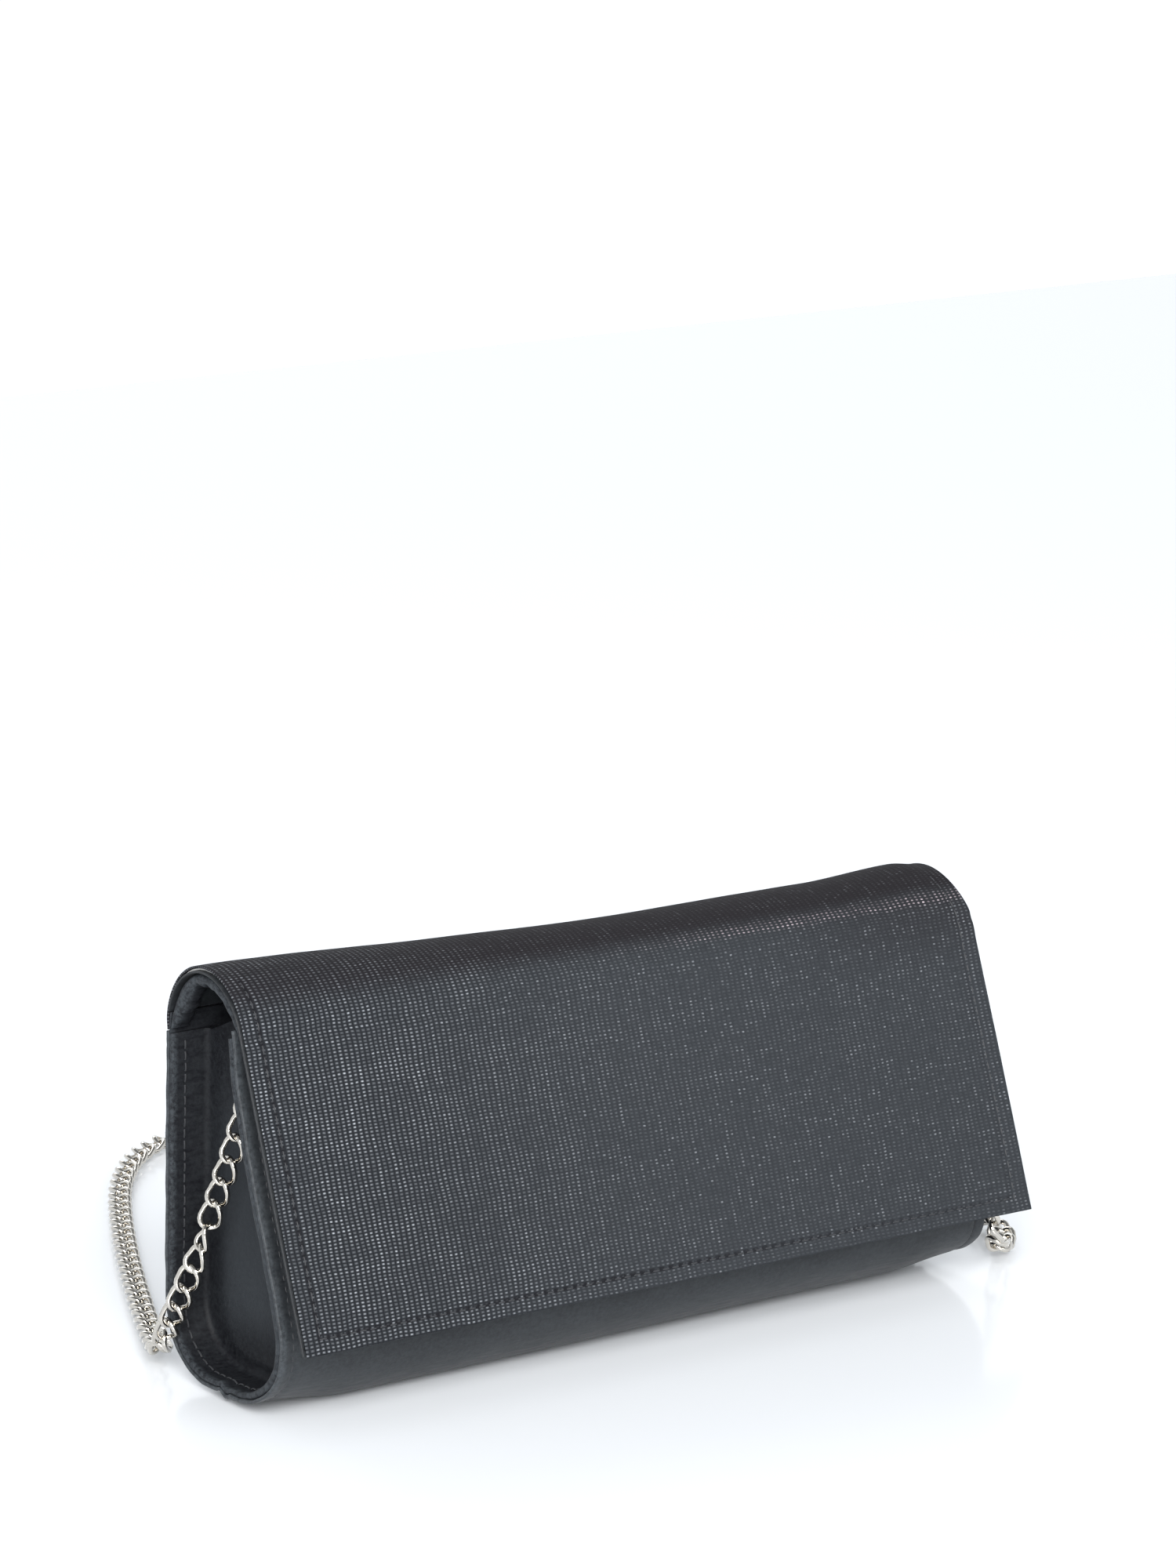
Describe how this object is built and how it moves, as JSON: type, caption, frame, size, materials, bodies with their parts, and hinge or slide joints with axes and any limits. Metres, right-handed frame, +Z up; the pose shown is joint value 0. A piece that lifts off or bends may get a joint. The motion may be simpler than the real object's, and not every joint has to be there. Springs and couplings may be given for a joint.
{
  "type": "evening bag",
  "caption": "Dark stiffened evening bag on a flat base, with a fold-over mesh flap, recessed end gussets, a magnetic snap and a silver chain strap.",
  "frame": {"origin": "middle of the flat strip that the bag stands on", "axes": "+X along the bag to the right seen from the front, +Y towards the back, +Z up"},
  "size_m": [0.2797, 0.2751, 0.12],
  "materials": {
    "satin": "dark charcoal satin",
    "gusset_satin": "near-black satin",
    "mesh": "charcoal mesh with small bright dots",
    "lining": "black lining cloth",
    "padding": "thin grey wadding",
    "board": "stiffening board",
    "silver": "polished nickel",
    "chain_silver": "polished, silver-tone"
  },
  "bodies": {
    "body": {"back_cover": "satin", "back_board": "board", "base_board": "board", "back_lining": "lining", "back_facing": "satin", "slip_pocket": "lining", "gusset_left": "gusset_satin", "gusset_right": "gusset_satin", "gusset_lining_left": "lining", "gusset_lining_right": "lining", "chain_tab_left": "satin", "chain_tab_right": "satin", "chain_strap": "chain_silver"},
    "front": {"front_cover": "satin", "front_board": "board", "front_lining": "lining", "front_facing": "satin", "snap_socket": "silver", "snap_socket_washer": "silver"},
    "flap": {"flap_cover": "mesh", "flap_board": "board", "flap_padding": "padding", "flap_lining": "lining", "snap_stud": "silver", "snap_stud_washer": "silver"},
    "ring_left": {"d_ring_left": "silver", "end_link_left": "chain_silver"},
    "ring_right": {"d_ring_right": "silver", "end_link_right": "chain_silver"}
  },
  "joints": [
    {"name": "flap_hinge", "type": "hinge", "parent": "body", "child": "flap", "pos_m": [0, 0.027, 0.099], "axis": [-1, 0, 0], "range_deg": [0, 170]},
    {"name": "mouth_hinge", "type": "hinge", "parent": "body", "child": "front", "pos_m": [0, -0.0315, 0.026], "axis": [1, 0, 0], "range_deg": [0, 10]},
    {"name": "ring_swing_left", "type": "hinge", "parent": "body", "child": "ring_left", "pos_m": [-0.1139, -0.0032, 0.0965], "axis": [0, 1, 0], "range_deg": [0, 25]},
    {"name": "ring_swing_right", "type": "hinge", "parent": "body", "child": "ring_right", "pos_m": [0.1139, -0.0032, 0.0965], "axis": [0, -1, 0], "range_deg": [0, 25]}
  ],
  "couplings": [
    {"joint": "mouth_hinge", "follows": "flap_hinge", "ratio": 0.0588}
  ]
}
